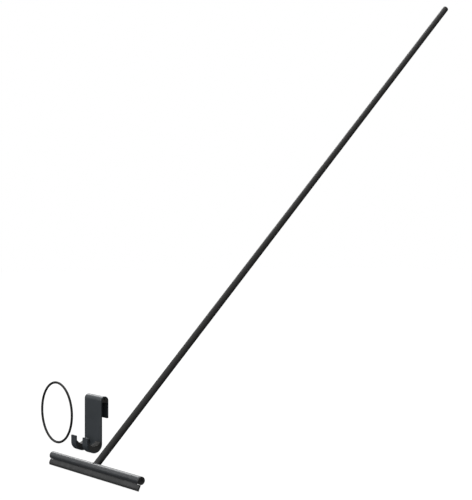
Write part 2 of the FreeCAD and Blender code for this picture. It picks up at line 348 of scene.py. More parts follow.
@dataclass(frozen=True)
class PowderCoat(Finish):
    """Satin powder coat: orange peel, fine flecks, soft clouding and faint handling marks."""

    grain: Sequence[float] = (1.0, 1.0, 0.05)
    clouds_per_mm: float = 0.022
    flecks_per_mm: float = 5.0
    strokes_per_mm: float = 0.55
    peel_mm: float = 1.3
    peel_depth: float = 0.012
    tones: Tones = (0.72, 1.4)
    rubbed: Band = (0.58, 0.74)
    fleck: Band = (0.05, 0.5)

    def paint(self, graph: Graph, spot: Value) -> dict:
        """See Finish.paint."""
        clouds = graph.noise(spot, self.clouds_per_mm, 3.0)
        peel = graph.noise(spot, 1 / self.peel_mm, 2.0)
        flecks = graph.grains(spot, self.flecks_per_mm)
        along = graph.stretched(spot, self.grain)
        strokes = graph.noise(along, self.strokes_per_mm, 4.0, 0.6)
        rubbed = strokes.step(*self.rubbed)
        tone = clouds * 0.5 + flecks.step(*self.fleck) * 0.22 + rubbed * 0.28
        return {
            "Base Color": self.toned(graph, tone),
            "Roughness": clouds * 0.1 + rubbed * 0.09 + peel * 0.05 + (self.roughness - 0.12),
            "Normal": graph.bump(peel * 0.8 + flecks * 0.2, self.peel_depth),
        }


@dataclass(frozen=True)
class MouldedPlastic(Finish):
    """Moulded plastic with a fine spark-eroded texture and slightly polished high spots."""

    pits_per_mm: float = 3.2
    texture_per_mm: float = 5.0
    clouds_per_mm: float = 0.12
    texture_depth: float = 0.01
    tones: Tones = (0.8, 1.45)
    polished: Band = (0.42, 0.75)

    def paint(self, graph: Graph, spot: Value) -> dict:
        """See Finish.paint."""
        pits = graph.grains(spot, self.pits_per_mm)
        fine = graph.noise(spot, self.texture_per_mm, 3.0, 0.6)
        clouds = graph.noise(spot, self.clouds_per_mm, 2.0)
        worn = (fine * clouds * 2.0).step(*self.polished)
        return {
            "Base Color": self.toned(graph, worn),
            "Roughness": clouds * 0.12 + pits * 0.1 + (self.roughness - 0.1),
            "Normal": graph.bump(fine * 0.6 + pits * 0.4, self.texture_depth),
        }


@dataclass(frozen=True)
class Rubber(Finish):
    """Dull rubber: fine grain, lines from its die or mould, grey bloom, and painted shade along the
    blade's bevelled bottom edge.
    """

    lines: Sequence[float] = (1.0, 1.0, 1.0)
    bloom: Colour = (0.12, 0.12, 0.12)
    lines_per_mm: float = 1.6
    grain_per_mm: float = 6.0
    clouds_per_mm: float = 0.05
    dust_per_mm: float = 0.9
    grain_depth: float = 0.008
    # painted shade: below this height the colour darkens to this share of itself, set only for the
    # blade's bevelled bottom edge
    shade_below: float = -100.0
    edge_shade: float = 0.5
    specks: Band = (0.16, 0.05)
    speckled: Band = (0.5, 0.7)
    clouded: Band = (0.4, 0.75)
    scored: Band = (0.5, 0.8)

    def paint(self, graph: Graph, spot: Value) -> dict:
        """See Finish.paint."""
        drawn = graph.noise(graph.stretched(spot, self.lines), self.lines_per_mm, 3.0, 0.6)
        grain = graph.noise(spot, self.grain_per_mm, 2.0)
        clouds = graph.noise(spot, self.clouds_per_mm, 3.0, 0.6)
        points = graph.grains(spot, self.dust_per_mm)
        dust = points.step(*self.specks) * clouds.step(*self.speckled)
        film = clouds.step(*self.clouded) * 0.16 + drawn.step(*self.scored) * 0.1 + dust * 0.25
        # painted shade on the blade's bevelled bottom edge, darker below a set height where the
        # bevel faces down out of the light
        ground = graph.axis(spot, "Z").step(self.shade_below + 0.15, self.shade_below - 0.2)
        dusty = graph.blend(film, self.toned(graph, grain), self.bloom)
        return {
            "Base Color": graph.blend(ground, dusty, self.shade(self.edge_shade)),
            "Roughness": clouds * 0.12 + drawn * 0.08 + (self.roughness - 0.1),
            "Normal": graph.bump(grain * 0.5 + drawn * 0.5, self.grain_depth),
        }


@dataclass(frozen=True)
class MachinedMetal(Finish):
    """Turned metal: fine rings from the tool, oil in the low places and brighter high ones."""

    tool_mm: float = 0.18
    smears_per_mm: float = 0.7
    oil: Colour = (0.05, 0.045, 0.04)
    mark_depth: float = 0.006
    tones: Tones = (0.75, 1.1)
    wiped: Sequence[float] = (1.0, 1.0, 4.0)
    oiled: Band = (0.5, 0.72)

    def paint(self, graph: Graph, spot: Value) -> dict:
        """See Finish.paint."""
        along = graph.axis(spot, "Z") * (FULL_TURN / self.tool_mm)
        rings = along.sine() * 0.5 + 0.5
        smear = graph.noise(graph.stretched(spot, self.wiped), self.smears_per_mm, 3.0, 0.6)
        oily = smear.step(*self.oiled) * 0.45
        metal = self.toned(graph, rings * 0.4 + smear * 0.6)
        return {
            "Base Color": graph.blend(oily, metal, self.oil),
            "Roughness": smear * 0.2 + rings * 0.05 + (self.roughness - 0.12),
            "Normal": graph.bump(rings * 0.5 + smear * 0.5, self.mark_depth),
        }


# Modelling


def only(items: Iterable, kind: type) -> list:
    """The items of one type, out of what a mesh operator made."""
    return [item for item in items if isinstance(item, kind)]


class Corner(NamedTuple):
    """A corner of a turned profile, and how far it is rounded."""

    along: float
    radius: float
    rounding: float = 0.0


def bevel(bm: bmesh.types.BMesh, parts: Sequence, width: float, steps: int, kind: str) -> None:
    """Round some edges or points of a mesh.

    Args:
        bm: The mesh.
        parts: The edges or points.
        width: How far from them the curve starts.
        steps: Segments in the curve.
        kind: EDGES or VERTICES.
    """
    bmesh.ops.bevel(
        bm, geom=parts, offset=width, offset_type="OFFSET", segments=steps, profile=0.5,
        affect=kind, clamp_overlap=True, material=-1,
    )


class Shape:
    """A mesh being modelled, in millimetres in its sub-assembly's own frame."""

    def __init__(self) -> None:
        """Start with an empty mesh."""
        self.bm = bmesh.new()

    def tidy(self) -> "Shape":
        """Merge doubled points and turn all faces outwards."""
        bmesh.ops.remove_doubles(self.bm, verts=self.bm.verts[:], dist=MERGE)
        bmesh.ops.dissolve_degenerate(self.bm, edges=self.bm.edges[:], dist=MERGE)
        bmesh.ops.recalc_face_normals(self.bm, faces=self.bm.faces[:])
        return self

    def shift(self, x: float = 0.0, y: float = 0.0, z: float = 0.0) -> "Shape":
        """Move the whole mesh."""
        bmesh.ops.translate(self.bm, vec=(x, y, z), verts=self.bm.verts[:])
        return self

    def push(self, faces: Iterable[bmesh.types.BMFace], by: Vector) -> None:
        """Extrude faces by a vector."""
        made = bmesh.ops.extrude_face_region(self.bm, geom=list(faces))["geom"]
        bmesh.ops.translate(self.bm, vec=by, verts=only(made, bmesh.types.BMVert))

    def chain(self, spots: Iterable[Sequence[float]]) -> list[bmesh.types.BMVert]:
        """Add points with an edge from each to the next."""
        points = [self.bm.verts.new(spot) for spot in spots]
        for ends in zip(points, points[1:]):
            self.bm.edges.new(ends)
        return points

    def spin(
        self,
        axis: Vector,
        angle: float,
        steps: int,
        parts: Optional[Sequence] = None,
        centre: Sequence[float] = (0, 0, 0),
        rise: float = 0.0,
        merge: bool = False,
    ) -> list:
        """Sweep parts of the mesh round an axis.

        Args:
            axis: The axis's direction.
            angle: The whole turn.
            steps: How many steps it takes.
            parts: The points and edges to sweep, or all of them.
            centre: A point of the axis.
            rise: How far each step moves along the axis.
            merge: Whether the last step meets the first.

        Returns:
            What the last step made.
        """
        parts = self.bm.verts[:] + self.bm.edges[:] if parts is None else parts
        made = bmesh.ops.spin(
            self.bm, geom=parts, cent=centre, axis=axis, dvec=axis * rise, angle=angle,
            steps=steps, use_merge=merge, use_duplicate=False,
        )
        return made["geom_last"]

    def slice(self, at: Vector, way: Vector, trim: bool = False) -> None:
        """Cut all faces along a plane, and perhaps take off what lies beyond it."""
        everything = self.bm.verts[:] + self.bm.edges[:] + self.bm.faces[:]
        bmesh.ops.bisect_plane(
            self.bm, geom=everything, plane_co=at, plane_no=way, clear_outer=trim,
            clear_inner=False,
        )

    def soften(
        self,
        width: float,
        steps: int = SMALL_ROUNDING_STEPS,
        where: Callable[[bmesh.types.BMEdge], bool] = lambda edge: True,
    ) -> "Shape":
        """Bevel the sharp edges.

        Args:
            width: The bevel's width.
            steps: Segments across it.
            where: Says which sharp edges are taken.

        Returns:
            This shape.
        """
        edges = [
            edge for edge in self.bm.edges
            if len(edge.link_faces) == 2 and edge.calc_face_angle() > SHARP_EDGE and where(edge)
        ]
        bevel(self.bm, edges, width, steps, "EDGES")
        return self

    def cut(self, tool: "Shape") -> "Shape":
        """Take another closed shape out of this one.

        Args:
            tool: The shape to take away, which is used up.

        Returns:
            This shape.
        """
        body, cutter = self.scratch("body"), tool.scratch("cutter")
        step = body.modifiers.new("cut", "BOOLEAN")
        step.operation = "DIFFERENCE"
        step.solver = "EXACT"
        step.object = cutter
        bpy.context.view_layer.update()
        solid = body.evaluated_get(bpy.context.evaluated_depsgraph_get())
        self.bm = bmesh.new()
        self.bm.from_mesh(solid.to_mesh())
        solid.to_mesh_clear()
        for item in (body, cutter):
            mesh = item.data
            bpy.data.objects.remove(item)
            bpy.data.meshes.remove(mesh)
        return self.tidy()

    def scratch(self, name: str) -> bpy.types.Object:
        """Put the mesh in an object for a moment, and free the working copy."""
        mesh = bpy.data.meshes.new(name)
        self.bm.to_mesh(mesh)
        self.bm.free()
        item = bpy.data.objects.new(name, mesh)
        bpy.context.scene.collection.objects.link(item)
        return item

    def piece(self, name: str, place: Place, material: bpy.types.Material) -> bpy.types.Object:
        """Finish the shape as an object, with its place in its mesh.

        Args:
            name: The piece's name.
            place: Where its sub-assembly stands.
            material: Its finish.

        Returns:
            The new object, at the origin.
        """
        self.bm.transform(place.matrix)
        for face in self.bm.faces:
            face.smooth = True
        made = self.scratch(name)
        made.data.set_sharp_from_angle(angle=SMOOTH_ANGLE)
        made.data.materials.append(material)
        weighted = made.modifiers.new("weighted_normals", "WEIGHTED_NORMAL")
        weighted.keep_sharp = True
        return made


def turned(corners: Sequence[Corner], axis: Vector = AXIS_Z, steps: int = TUBE_STEPS) -> Shape:
    """A solid of revolution about an axis through the origin.

    Args:
        corners: The profile, from pole to pole, or all round if it never meets the axis.
        axis: X or Z.
        steps: Faces round the axis.

    Returns:
        The closed shape.
    """
    shape = Shape()
    out = AXIS_Y if axis == AXIS_X else AXIS_X
    points = shape.chain(axis * corner.along + out * corner.radius for corner in corners)
    if min(corner.radius for corner in corners) > 0:
        shape.bm.edges.new((points[-1], points[0]))
    for point, corner in zip(points, corners):
        if corner.rounding > 0:
            fineness = LARGE_ROUNDING_STEPS if corner.rounding > 1 else SMALL_ROUNDING_STEPS
            bevel(shape.bm, [point], corner.rounding, fineness, "VERTICES")
    shape.spin(axis, FULL_TURN, steps, merge=True)
    return shape.tidy()


def rod(ends: Sequence[float], radius: float, steps: int) -> Shape:
    """A plain rod along the bar's axis."""
    low, high = ends
    section = (Corner(low, 0.0), Corner(low, radius), Corner(high, radius), Corner(high, 0.0))
    return turned(section, AXIS_X, steps)


def threaded(crest: float, root: float, pitch: float, low: float, high: float) -> Shape:
    """A closed rod along z with a right-handed thread, in step with any other of its pitch.

    Args:
        crest: Radius of the thread's crests.
        root: Radius between them.
        pitch: Distance from one turn to the next.
        low: Where the rod starts.
        high: Where it ends.

    Returns:
        The closed shape.
    """
    shape = Shape()
    start = math.floor(low / pitch - 1) * pitch
    turns = math.ceil((high - start) / pitch) + 1
    ridge = ((root, 0.0), (root, 0.22), (crest, 0.54), (crest, 0.68), (root, 1.0))
    shape.chain((radius, 0, start + share * pitch) for radius, share in ridge)
    shape.spin(AXIS_Z, FULL_TURN * turns, THREAD_STEPS * turns, rise=pitch / THREAD_STEPS)
    bmesh.ops.remove_doubles(shape.bm, verts=shape.bm.verts[:], dist=MERGE * 10)
    for height, outwards in ((low, -1), (high, 1)):
        shape.slice(AXIS_Z * height, AXIS_Z * outwards, trim=True)
        rim = [e for e in shape.bm.edges if e.is_boundary and abs(e.verts[0].co.z - height) < MERGE]
        bmesh.ops.contextual_create(shape.bm, geom=rim)
    return shape.tidy()


def block(x: Sequence[float], y: Sequence[float], z: Sequence[float]) -> Shape:
    """A box between two values on each axis."""
    shape = Shape()
    bmesh.ops.create_cube(shape.bm, size=1.0)
    size = (x[1] - x[0], y[1] - y[0], z[1] - z[0])
    bmesh.ops.scale(shape.bm, vec=size, verts=shape.bm.verts[:])
    return shape.shift(sum(x) / 2, sum(y) / 2, sum(z) / 2)


class Pen:
    """Draws a closed outline across the bar, one run or arc at a time."""

    def __init__(self, x: float, start: tuple[float, float]) -> None:
        """Put the pen down.

        Args:
            x: The plane of the outline.
            start: Its first point, as y and z.
        """
        self.shape = Shape()
        self.x = x
        self.first = self.shape.bm.verts.new((x, *start))
        self.tip = self.first

    def line(self, *points: tuple[float, float]) -> "Pen":
        """Draw straight runs to each of the points."""
        for point in points:
            end = self.shape.bm.verts.new((self.x, *point))
            self.shape.bm.edges.new((self.tip, end))
            self.tip = end
        return self

    def arc(self, centre: tuple[float, float], turn: float, steps: int) -> "Pen":
        """Draw an arc from the pen's tip.

        Args:
            centre: The arc's centre, as y and z.
            turn: Its angle, from y towards z.
            steps: Its segments.

        Returns:
            This pen.
        """
        made = self.shape.spin(AXIS_X, turn, steps, [self.tip], (self.x, *centre))
        self.tip = only(made, bmesh.types.BMVert)[0]
        return self

    def face(self) -> bmesh.types.BMFace:
        """Close the outline and fill it."""
        if (self.tip.co - self.first.co).length > MERGE:
            self.shape.bm.edges.new((self.tip, self.first))
        else:
            bmesh.ops.remove_doubles(self.shape.bm, verts=self.shape.bm.verts[:], dist=MERGE)
        bmesh.ops.contextual_create(self.shape.bm, geom=self.shape.bm.edges[:])
        return self.shape.bm.faces[0]

    def bar(self, length: float) -> Shape:
        """Fill the outline and draw it out along the bar."""
        self.shape.push([self.face()], AXIS_X * length)
        return self.shape.tidy()


# Sub-assemblies


@dataclass
class SubAssembly:
    """What the sub-assemblies share: a place in the model, and how their pieces join it."""

    place: Place

    def add(
        self,
        shape: Shape,
        name: str,
        body: str,
        slot: str,
        material: bpy.types.Material,
        *nodes: str,
    ) -> None:
        """Make one piece that rides on a body and stands for nodes of the model.

        Args:
            shape: Its mesh.
            name: Its name.
            body: The body it rides on.
            slot: The record's slot for its finish; not used.
            material: Its finish.
            nodes: The nodes that it replaces.
        """
        made = shape.piece(name, self.place, material)
        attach(made, body)
        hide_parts(*nodes)
        self.report(made)

    @staticmethod
    def report(made: bpy.types.Object) -> None:
        """Say in the log that a piece is finished."""
        LOG.info("%s: %d faces", made.name, len(made.data.polygons))

    @staticmethod
    def dress(node: str, material: bpy.types.Material) -> None:
        """Give a node that keeps its own shape a better finish."""
        mesh = frame["nodes"][node].data
        mesh.materials.clear()
        mesh.materials.append(material)
        LOG.info("%s keeps its shape", node)


@dataclass
class Pole(SubAssembly):
    """Tube, end plug and stud, and the rounded cap at the far end; z runs up the pole."""

    radius: float = 6.0
    bore: float = 5.0
    foot: float = 16.8
    tube_end: float = 1226.0
    end: float = 1230.0
    end_rounding: float = 2.9
    lip_rounding: float = 0.18
    spigot: float = 16.0
    spigot_radius: float = 4.88
    groove: tuple[float, float, float] = (1217.28, 1218.72, 3.56)
    stud_low: float = 7.4
    stud_high: float = 34.78
    stud_crest: float = 3.95
    stud_root: float = 3.3
    stud_tip: float = 3.1
    pitch: float = 1.25

    def build(self) -> None:
        """Build every piece of the pole."""
        coat = PowderCoat("pole_coat", (0.0275, 0.0271, 0.0264), 0.5, 0.1).material(self.place)
        plastic = MouldedPlastic("pole_cap_plastic", (0.011, 0.011, 0.011), 0.5, 0.3)
        steel = MachinedMetal("stud_steel", (0.56, 0.55, 0.53), 0.34, metallic=1.0, tool_mm=0.3)
        alloy = MachinedMetal("plug_alloy", (0.66, 0.66, 0.67), 0.36, metallic=1.0)
        grip = Rubber("grip_ring_rubber", (0.012, 0.012, 0.012), 0.6)
        self.add(self.tube(), "pole_shaft", "pole", "powder_coat", coat, "pole_tube")
        cap_finish = plastic.material(self.place)
        self.add(self.cap(), "pole_end_cap", "pole", "cap_plastic", cap_finish, "pole_cap")
        stud_finish = steel.material(self.place)
        self.add(self.stud(), "neck_stud", "pole", "stud_steel", stud_finish, "pole_stud")
        self.dress("pole_insert", alloy.material(self.place))
        self.dress("cap_grip_ring", grip.material(self.place))

    def tube(self) -> Shape:
        """The long tube, its rims rounded over by tumbling and paint."""
        lip = self.lip_rounding
        return turned([
            Corner(self.foot, self.bore, lip), Corner(self.tube_end, self.bore, lip),
            Corner(self.tube_end, self.radius, lip), Corner(self.foot, self.radius, lip),
        ])

    def cap(self) -> Shape:
        """The cap, with a domed rim and a grooved spigot."""
        low, high, floor = self.groove
        start = self.tube_end - self.spigot
        return turned([
            Corner(start, 0.0), Corner(start, self.spigot_radius, 0.4),
            Corner(low, self.spigot_radius), Corner(low, floor),
            Corner(high, floor), Corner(high, self.spigot_radius),
            Corner(self.tube_end, self.spigot_radius), Corner(self.tube_end, self.radius, 0.2),
            Corner(self.end, self.radius, self.end_rounding), Corner(self.end, 0.0),
        ])

    def stud(self) -> Shape:
        """The threaded stud, with its first and last threads chamfered."""
        shape = threaded(self.stud_crest, self.stud_root, self.pitch, self.stud_low, self.stud_high)
        for point in shape.bm.verts:
            depth = min(point.co.z - self.stud_low, self.stud_high - point.co.z)
            radius = math.hypot(point.co.x, point.co.y)
            reach = self.stud_tip + max(depth, 0.0)
            if radius > reach:
                point.co.x *= reach / radius
                point.co.y *= reach / radius
        return shape


@dataclass
class Neck(SubAssembly):
    """Washer and threaded socket between pole and bar; z runs up the pole from the bar's axis."""

    radius: float = 6.0
    top: float = 16.0
    foot: float = 16.8
    washer_radius: float = 5.8
    washer_hole: float = 4.3
    bar_radius: float = 6.5
    sunk_radius: float = 6.3
    weld: float = 0.9
    hollow: float = 1.1
    lip: float = 0.15
    hole_floor: float = 7.0
    hole_crest: float = 4.06
    hole_root: float = 3.42
    pitch: float = 1.25
    steps: int = 72
    wall_rings: tuple[float, ...] = (0.25, 0.6, 1.0)
    weld_rings: tuple[float, ...] = (0.25, 0.5, 0.75, 1.0)
    under_rings: tuple[float, ...] = (5.9, 4.0, 2.0, 0.0)
    rim_round: float = 0.22

    def build(self) -> None:
        """Build the washer and the socket."""
        coat = PowderCoat("neck_coat", (0.0135, 0.0135, 0.014), 0.44, 0.32).material(self.place)
        disc = MouldedPlastic("washer_plastic", (0.012, 0.012, 0.012), 0.5).material(self.place)
        washer = turned([
            Corner(along, radius, self.lip)
            for along, radius in (
                (self.top, self.washer_hole), (self.foot, self.washer_hole),
                (self.foot, self.washer_radius), (self.top, self.washer_radius),
            )
        ])
        self.add(washer, "neck_ring", "washer", "washer_plastic", disc, "neck_washer")
        above = self.top + OVERRUN
        thread = threaded(self.hole_crest, self.hole_root, self.pitch, self.hole_floor, above)
        socket = self.socket().cut(thread)
        self.add(socket, "neck_body", "head", "powder_coat", coat, "neck_socket")

    @staticmethod
    def saddle(y: float, radius: float) -> float:
        """Height at y of a cylinder of some radius along the bar."""
        return math.sqrt(max(radius * radius - y * y, 0.0))

    def socket(self) -> Shape:
        """The neck and the weld round its foot, reaching a little into the bar's wall."""
        shape = Shape()
        made = bmesh.ops.create_circle(
            shape.bm, cap_ends=True, cap_tris=False, segments=self.steps, radius=self.radius,
        )
        bmesh.ops.translate(shape.bm, vec=(0, 0, self.top), verts=made["verts"])
        ring = shape.bm.edges[:]
        rings = (
            (self.wall, self.wall_rings), (self.fillet, self.weld_rings),
            (self.under, self.under_rings),
        )
        for line, places in rings:
            for place in places:
                ring = self.next_ring(shape, ring, partial(line, place))
        shape.tidy()
        return shape.soften(self.rim_round, where=lambda edge: all(
            vert.co.z > self.top - MERGE for vert in edge.verts
        ))

    @staticmethod
    def next_ring(
        shape: Shape, ring: list[bmesh.types.BMEdge], spot: Callable[[float], Vector]
    ) -> list[bmesh.types.BMEdge]:
        """Extrude a ring of edges and move it to its new line.

        Args:
            shape: The shape being made.
            ring: The edges to extrude.
            spot: The new place of a point, from its angle about z.

        Returns:
            The new ring.
        """
        made = bmesh.ops.extrude_edge_only(shape.bm, edges=ring)["geom"]
        for point in only(made, bmesh.types.BMVert):
            point.co = spot(math.atan2(point.co.y, point.co.x))
        return only(made, bmesh.types.BMEdge)

    def wall(self, share: float, angle: float) -> Vector:
        """A point of the neck's wall, from its top at a share of 0 to the weld at 1."""
        x, y = self.radius * math.cos(angle), self.radius * math.sin(angle)
        low = self.saddle(y, self.bar_radius) + self.weld
        return Vector((x, y, self.top + (low - self.top) * share))

    def fillet(self, share: float, angle: float) -> Vector:
        """A point of the weld.

        Args:
            share: How far it is from the wall, at 0, to the bar, at 1.
            angle: Its angle about z.

        Returns:
            The point.
        """
        cosine, sine = math.cos(angle), math.sin(angle)
        x, y = self.radius * cosine, self.radius * sine
        bar = self.bar_radius
        foot = self.saddle(y, bar)
        turn = math.asin(min(y / bar, 1.0)) + self.weld * sine / bar
        toe = Vector((x + self.weld * cosine, bar * math.sin(turn), bar * math.cos(turn)))
        top = Vector((x, y, foot + self.weld))
        root = Vector((x, y, foot))
        return top.lerp(toe, share).lerp(root, self.hollow * share * (1 - share))

    def under(self, radius: float, angle: float) -> Vector:
        """A point of the neck's hidden underside."""
        x, y = radius * math.cos(angle), radius * math.sin(angle)
        return Vector((x, y, self.saddle(y, self.sunk_radius)))


@dataclass
class Head(SubAssembly):
    """Slotted bar, blade carrier and rubber blade; z runs up and the blade hangs down."""

    radius: float = 6.5
    bore: float = 5.3
    slot: float = 3.2
    half: float = 135.0
    bead_radius: float = 2.0
    bead_drop: float = 2.9
    root_half: float = 128.8
    web: float = 2.0
    lip: float = 2.6
    lip_half: float = 138.3
    lip_top: float = 6.8
    lip_shoulder: float = 7.45
    edge: float = 16.7
    edge_flat: float = 0.4
    bevel: float = 3.2
    bend_from: float = 6.75
    bend_to: float = 9.2
    lip_below: float = 7.1
    lip_round: float = 0.12
    end_round: float = 0.45
    slot_round: float = 0.16
    steps: int = 72
    last_rib: int = 120
    rib_spacing: int = 40

    def build(self) -> None:
        """Build the bar and the blade, and dress the carrier."""
        along = (0.04, 1.0, 1.0)
        coat = PowderCoat("bar_coat", (0.029, 0.0313, 0.0343), 0.38, 0.42, grain=along)
        plastic = MouldedPlastic("carrier_plastic", (0.02, 0.02, 0.02), 0.5)
        rubber = Rubber(
            "blade_rubber", (0.015, 0.0155, 0.0165), 0.62, 0.35, lines=(0.02, 2.0, 2.0),
            # painted shade starts where the blade's bottom edge is bevelled
            shade_below=self.bevel - self.edge,
        )
        bar_finish = coat.material(self.place)
        self.add(self.bar(), "bar_tube", "head", "powder_coat", bar_finish, "head_bar")
        self.dress("blade_carrier", plastic.material(self.place))
        blade = self.blade().piece("blade_strip", self.place, rubber.material(self.place))
        start = self.place.point(0, 0, -self.bend_from)
        self.place.point(0, 0, -self.bend_to)
        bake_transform(blade)
        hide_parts("blade_root", "blade_lip")
        self.report(blade)

    def bar(self) -> Shape:
        """The tube with its slot underneath, drawn out along x."""
        shape = Shape()
        half_gap = math.asin(self.slot / 2 / self.radius)
        shape.chain(
            (-self.half, radius * math.sin(half_gap), -radius * math.cos(half_gap))
            for radius in (self.bore, self.radius)
        )
        shape.spin(AXIS_X, FULL_TURN - 2 * half_gap, self.steps, centre=(-self.half, 0, 0))
        shape.push(shape.bm.faces[:], AXIS_X * self.half * 2)
        shape.tidy().soften(self.end_round, where=self.at_bar_end)
        return shape.soften(self.slot_round)

    def at_bar_end(self, edge: bmesh.types.BMEdge) -> bool:
        """Whether an edge runs round the outside of one of the bar's ends."""
        return all(
            abs(abs(point.co.x) - self.half) < MERGE
            and math.hypot(point.co.y, point.co.z) > self.radius - MERGE
            for point in edge.verts
        )

    def blade(self) -> Shape:
        """The blade: its bead and web stop inside the end caps, its lip runs under them."""
        neck = self.web / 2
        front = -self.lip / 2
        back = -front
        meet = math.sqrt(self.bead_radius ** 2 - neck ** 2)
        swept = FULL_TURN - 2 * math.asin(neck / self.bead_radius)
        pen = Pen(-self.root_half, (neck, -self.bead_drop - meet))
        pen.arc((0, -self.bead_drop), swept, ARC_STEPS)
        pen.line(
            (-neck, -self.lip_top), (front, -self.lip_shoulder), (front, self.bevel - self.edge),
            (back - self.edge_flat, -self.edge), (back, -self.edge), (back, -self.lip_shoulder),
            (neck, -self.lip_top),
        )
        section = pen.face()
        shape = pen.shape
        tops = [v for v in section.verts if abs(v.co.z + self.lip_top) < MERGE]
        bmesh.ops.connect_verts(shape.bm, verts=tops)
        shape.push(shape.bm.faces[:], AXIS_X * self.root_half * 2)
        shape.tidy()
        spare = self.lip_half - self.root_half
        for way in (-1, 1):
            ends = [
                face for face in shape.bm.faces
                if abs(face.calc_center_median().x - way * self.root_half) < MERGE
                and face.calc_center_median().z < -self.lip_top
            ]
            shape.push(ends, AXIS_X * way * spare)
            bmesh.ops.delete(shape.bm, geom=[f for f in ends if f.is_valid], context="FACES_ONLY")
        shape.tidy()
        for x in range(-self.last_rib, self.last_rib + 1, self.rib_spacing):
            shape.slice(AXIS_X * x, AXIS_X)
        for height in (-self.lip_top + 0.05, -self.bend_to):
            shape.slice(AXIS_Z * height, AXIS_Z)
        return shape.soften(self.lip_round, 2, lambda edge: edge.verts[0].co.z < -self.lip_below)


@dataclass
class EndFittings(SubAssembly):
    """End caps and their screws, in the bar's frame."""

    rim_inner: float = 135.0
    rim_outer: float = 137.5
    rim_radius: float = 6.5
    spigot_start: float = 129.0
    spigot_radius: float = 5.25
    screw_height: float = 1.2
    screw_face: float = 137.2
    screw_start: float = 121.2
    shank: float = 1.25
    head: float = 2.35
    head_depth: float = 1.2
    hex_flats: float = 1.5
    hex_depth: float = 1.0
    play: float = 0.02

    def build(self) -> None:
        """Build both caps and both screws."""
        plastic = MouldedPlastic("end_cap_plastic", (0.022, 0.022, 0.0225), 0.46, 0.4)
        steel = MachinedMetal("screw_steel", (0.05, 0.05, 0.053), 0.36, 0.6, metallic=0.8)
        cap_finish, screw_finish = plastic.material(self.place), steel.material(self.place)
        for side in Side:
            body = side.word + "_cap"
            node = "end_cap_" + side.word
            self.add(self.cap(side), "bar_cap_" + side.word, body, "cap_plastic", cap_finish, node)
            node = "cap_screw_" + side.word
            name = "bar_screw_" + side.word
            self.add(self.screw(side), name, body, "screw_steel", screw_finish, node)

    def cap(self, side: Side) -> Shape:
        """One cap with its countersunk hole."""
        solid = self.lathe(side, TUBE_STEPS, (
            (self.spigot_start, 0.0), (self.spigot_start, self.spigot_radius, 0.3),
            (self.rim_inner, self.spigot_radius), (self.rim_inner, self.rim_radius, 0.8),
            (self.rim_outer, self.rim_radius, 0.5), (self.rim_outer, 0.0),
        ))
        shank, head = self.shank + self.play, self.head + self.play
        low, high = self.spigot_start - OVERRUN, self.rim_outer + OVERRUN
        hole = self.lathe(side, HOLE_STEPS, (
            (low, 0.0), (low, shank), (self.screw_face - self.head_depth, shank),
            (self.screw_face, head), (high, head), (high, 0.0),
        ))
        return solid.cut(hole.shift(z=self.screw_height))

    def screw(self, side: Side) -> Shape:
        """One countersunk screw with its hexagonal socket."""
        face = self.screw_face
        solid = self.lathe(side, HOLE_STEPS, (
            (self.screw_start, 0.0), (self.screw_start, self.shank, 0.3),
            (face - self.head_depth, self.shank), (face, self.head, 0.12), (face, 0.0),
        ))
        ends = (side.value * (face - self.hex_depth), side.value * (face + OVERRUN))
        key = rod(ends, self.hex_flats / math.sqrt(3), 6)
        return solid.cut(key).shift(z=self.screw_height)

    @staticmethod
    def lathe(side: Side, steps: int, corners: Sequence[Sequence[float]]) -> Shape:
        """Turn a profile about the bar's axis, at one end of the bar.

        Args:
            side: The end.
            steps: Faces round the axis.
            corners: The profile, its distances measured from the bar's middle.

        Returns:
            The closed shape.
        """
        placed = [Corner(side.value * along, *rest) for along, *rest in corners]
        return turned(placed, AXIS_X, steps)


